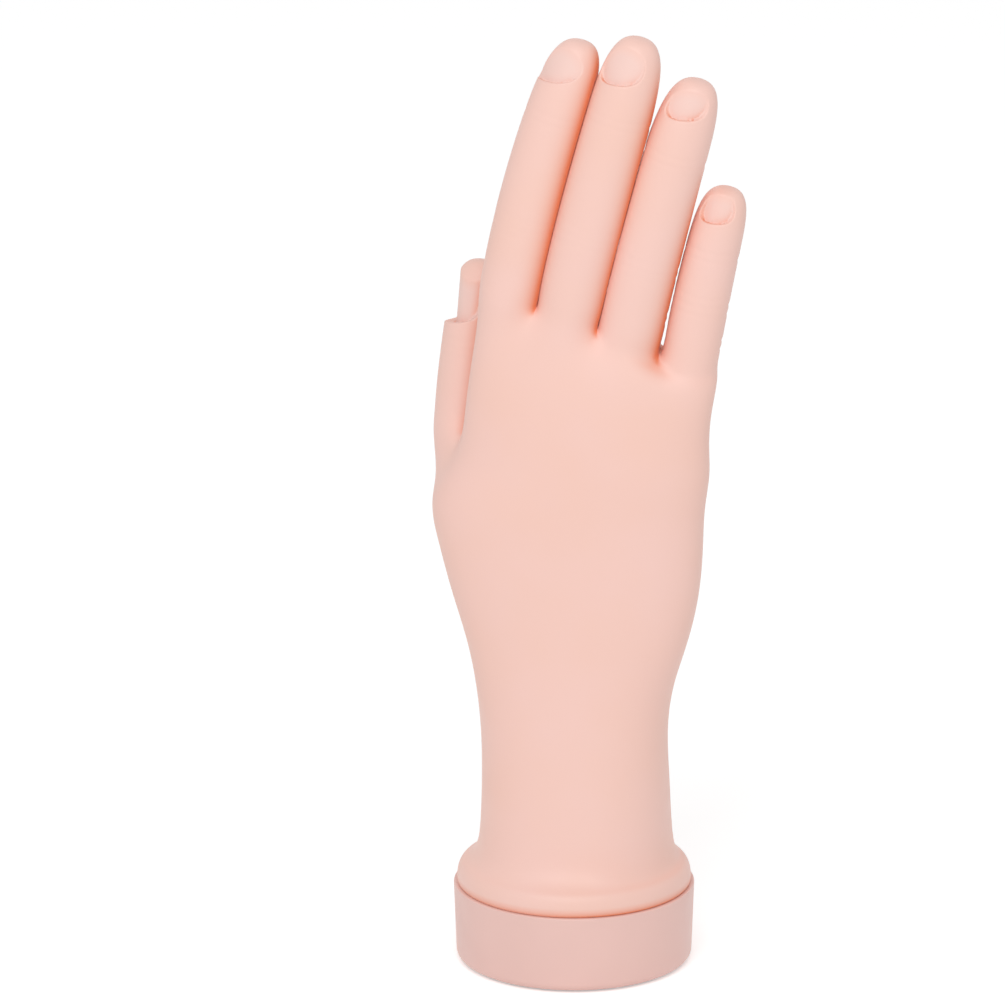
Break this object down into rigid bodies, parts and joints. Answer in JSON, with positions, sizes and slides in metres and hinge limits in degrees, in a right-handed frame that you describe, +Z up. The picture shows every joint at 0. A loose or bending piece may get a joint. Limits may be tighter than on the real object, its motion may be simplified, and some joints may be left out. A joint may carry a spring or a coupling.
{
  "type": "nail practice hand",
  "caption": "Soft right hand with bendable digits and recessed nail beds, standing upright in a round base cup, for practising nail extensions.",
  "frame": {"origin": "centre of the base's flat underside, on the table", "axes": "+Z up along the wrist; the back of the hand faces -Y and the palm +Y; the thumb is at -X and the little finger at +X"},
  "size_m": [0.0819, 0.0616, 0.249],
  "materials": {
    "soft_pvc_skin": "soft satin vinyl, peach",
    "soft_pvc_fold": "soft satin vinyl, peach",
    "base_abs": "moulded satin, greyish peach",
    "moulded_abs": "moulded, unpainted",
    "pad_rubber": "matt foam rubber",
    "zinc_plated_steel": "zinc plated"
  },
  "bodies": {
    "root": {"hand_skin": "soft_pvc_skin", "palm_core": "moulded_abs", "wrist_post": "moulded_abs", "base_cup": "base_abs", "base_pad": "pad_rubber", "base_screw": "zinc_plated_steel", "post_screw_1": "zinc_plated_steel", "post_screw_2": "zinc_plated_steel", "index_root_pin": "zinc_plated_steel", "index_root_fold": "soft_pvc_fold", "middle_root_pin": "zinc_plated_steel", "middle_root_fold": "soft_pvc_fold", "ring_root_pin": "zinc_plated_steel", "ring_root_fold": "soft_pvc_fold", "little_root_pin": "zinc_plated_steel", "little_root_fold": "soft_pvc_fold", "thumb_root_pin": "zinc_plated_steel", "thumb_root_fold": "soft_pvc_fold"},
    "index_proximal": {"index_proximal_skin": "soft_pvc_skin", "index_proximal_link": "moulded_abs", "index_middle_fold": "soft_pvc_fold"},
    "index_middle": {"index_middle_skin": "soft_pvc_skin", "index_middle_link": "moulded_abs", "index_end_fold": "soft_pvc_fold"},
    "index_tip": {"index_tip_skin": "soft_pvc_skin", "index_tip_link": "moulded_abs"},
    "middle_proximal": {"middle_proximal_skin": "soft_pvc_skin", "middle_proximal_link": "moulded_abs", "middle_middle_fold": "soft_pvc_fold"},
    "middle_middle": {"middle_middle_skin": "soft_pvc_skin", "middle_middle_link": "moulded_abs", "middle_end_fold": "soft_pvc_fold"},
    "middle_tip": {"middle_tip_skin": "soft_pvc_skin", "middle_tip_link": "moulded_abs"},
    "ring_proximal": {"ring_proximal_skin": "soft_pvc_skin", "ring_proximal_link": "moulded_abs", "ring_middle_fold": "soft_pvc_fold"},
    "ring_middle": {"ring_middle_skin": "soft_pvc_skin", "ring_middle_link": "moulded_abs", "ring_end_fold": "soft_pvc_fold"},
    "ring_tip": {"ring_tip_skin": "soft_pvc_skin", "ring_tip_link": "moulded_abs"},
    "little_proximal": {"little_proximal_skin": "soft_pvc_skin", "little_proximal_link": "moulded_abs", "little_middle_fold": "soft_pvc_fold"},
    "little_middle": {"little_middle_skin": "soft_pvc_skin", "little_middle_link": "moulded_abs", "little_end_fold": "soft_pvc_fold"},
    "little_tip": {"little_tip_skin": "soft_pvc_skin", "little_tip_link": "moulded_abs"},
    "thumb_proximal": {"thumb_proximal_skin": "soft_pvc_skin", "thumb_proximal_link": "moulded_abs", "thumb_end_fold": "soft_pvc_fold"},
    "thumb_tip": {"thumb_tip_skin": "soft_pvc_skin", "thumb_tip_link": "moulded_abs"}
  },
  "joints": [
    {"name": "index_root_bend", "type": "hinge", "parent": "root", "child": "index_proximal", "pos_m": [-0.01594, 0.00063, 0.18417], "axis": [-0.9703, 0, 0.2419], "range_deg": [0, 45], "deforming": ["index_root_fold"]},
    {"name": "index_middle_bend", "type": "hinge", "parent": "index_proximal", "child": "index_middle", "pos_m": [-0.01235, 0.00091, 0.19858], "axis": [-0.9703, 0, 0.2419], "range_deg": [0, 60], "deforming": ["index_middle_fold"]},
    {"name": "index_end_bend", "type": "hinge", "parent": "index_middle", "child": "index_tip", "pos_m": [-0.00508, 0.00234, 0.22773], "axis": [-0.9703, 0, 0.2419], "range_deg": [0, 40], "deforming": ["index_end_fold"]},
    {"name": "middle_root_bend", "type": "hinge", "parent": "root", "child": "middle_proximal", "pos_m": [0.00053, -0.00037, 0.18211], "axis": [-0.9711, 0, 0.2385], "range_deg": [0, 45], "deforming": ["middle_root_fold"]},
    {"name": "middle_middle_bend", "type": "hinge", "parent": "middle_proximal", "child": "middle_middle", "pos_m": [0.00426, -0.00009, 0.19732], "axis": [-0.9711, 0, 0.2385], "range_deg": [0, 60], "deforming": ["middle_middle_fold"]},
    {"name": "middle_end_bend", "type": "hinge", "parent": "middle_middle", "child": "middle_tip", "pos_m": [0.01183, 0.00134, 0.22811], "axis": [-0.9711, 0, 0.2385], "range_deg": [0, 40], "deforming": ["middle_end_fold"]},
    {"name": "ring_root_bend", "type": "hinge", "parent": "root", "child": "ring_proximal", "pos_m": [0.0155, 0.00063, 0.17483], "axis": [-0.9703, 0, 0.2419], "range_deg": [0, 45], "deforming": ["ring_root_fold"]},
    {"name": "ring_middle_bend", "type": "hinge", "parent": "ring_proximal", "child": "ring_middle", "pos_m": [0.01908, 0.00091, 0.18919], "axis": [-0.9703, 0, 0.2419], "range_deg": [0, 60], "deforming": ["ring_middle_fold"]},
    {"name": "ring_end_bend", "type": "hinge", "parent": "ring_middle", "child": "ring_tip", "pos_m": [0.02633, 0.00234, 0.21826], "axis": [-0.9703, 0, 0.2419], "range_deg": [0, 40], "deforming": ["ring_end_fold"]},
    {"name": "little_root_bend", "type": "hinge", "parent": "root", "child": "little_proximal", "pos_m": [0.03035, 0.00226, 0.16772], "axis": [-0.981, 0, 0.1942], "range_deg": [0, 45], "deforming": ["little_root_fold"]},
    {"name": "little_middle_bend", "type": "hinge", "parent": "little_proximal", "child": "little_middle", "pos_m": [0.03266, 0.00269, 0.1794], "axis": [-0.981, 0, 0.1942], "range_deg": [0, 60], "deforming": ["little_middle_fold"]},
    {"name": "little_end_bend", "type": "hinge", "parent": "little_middle", "child": "little_tip", "pos_m": [0.03521, 0.00364, 0.19227], "axis": [-0.981, 0, 0.1942], "range_deg": [0, 40], "deforming": ["little_end_fold"]},
    {"name": "thumb_root_bend", "type": "hinge", "parent": "root", "child": "thumb_proximal", "pos_m": [-0.03017, 0.01537, 0.14342], "axis": [0.9268, -0.3746, -0.0259], "range_deg": [-35, 0], "deforming": ["thumb_root_fold"]},
    {"name": "thumb_end_bend", "type": "hinge", "parent": "thumb_proximal", "child": "thumb_tip", "pos_m": [-0.02902, 0.01718, 0.15858], "axis": [0.9268, -0.3746, -0.0259], "range_deg": [-40, 0], "deforming": ["thumb_end_fold"]}
  ]
}
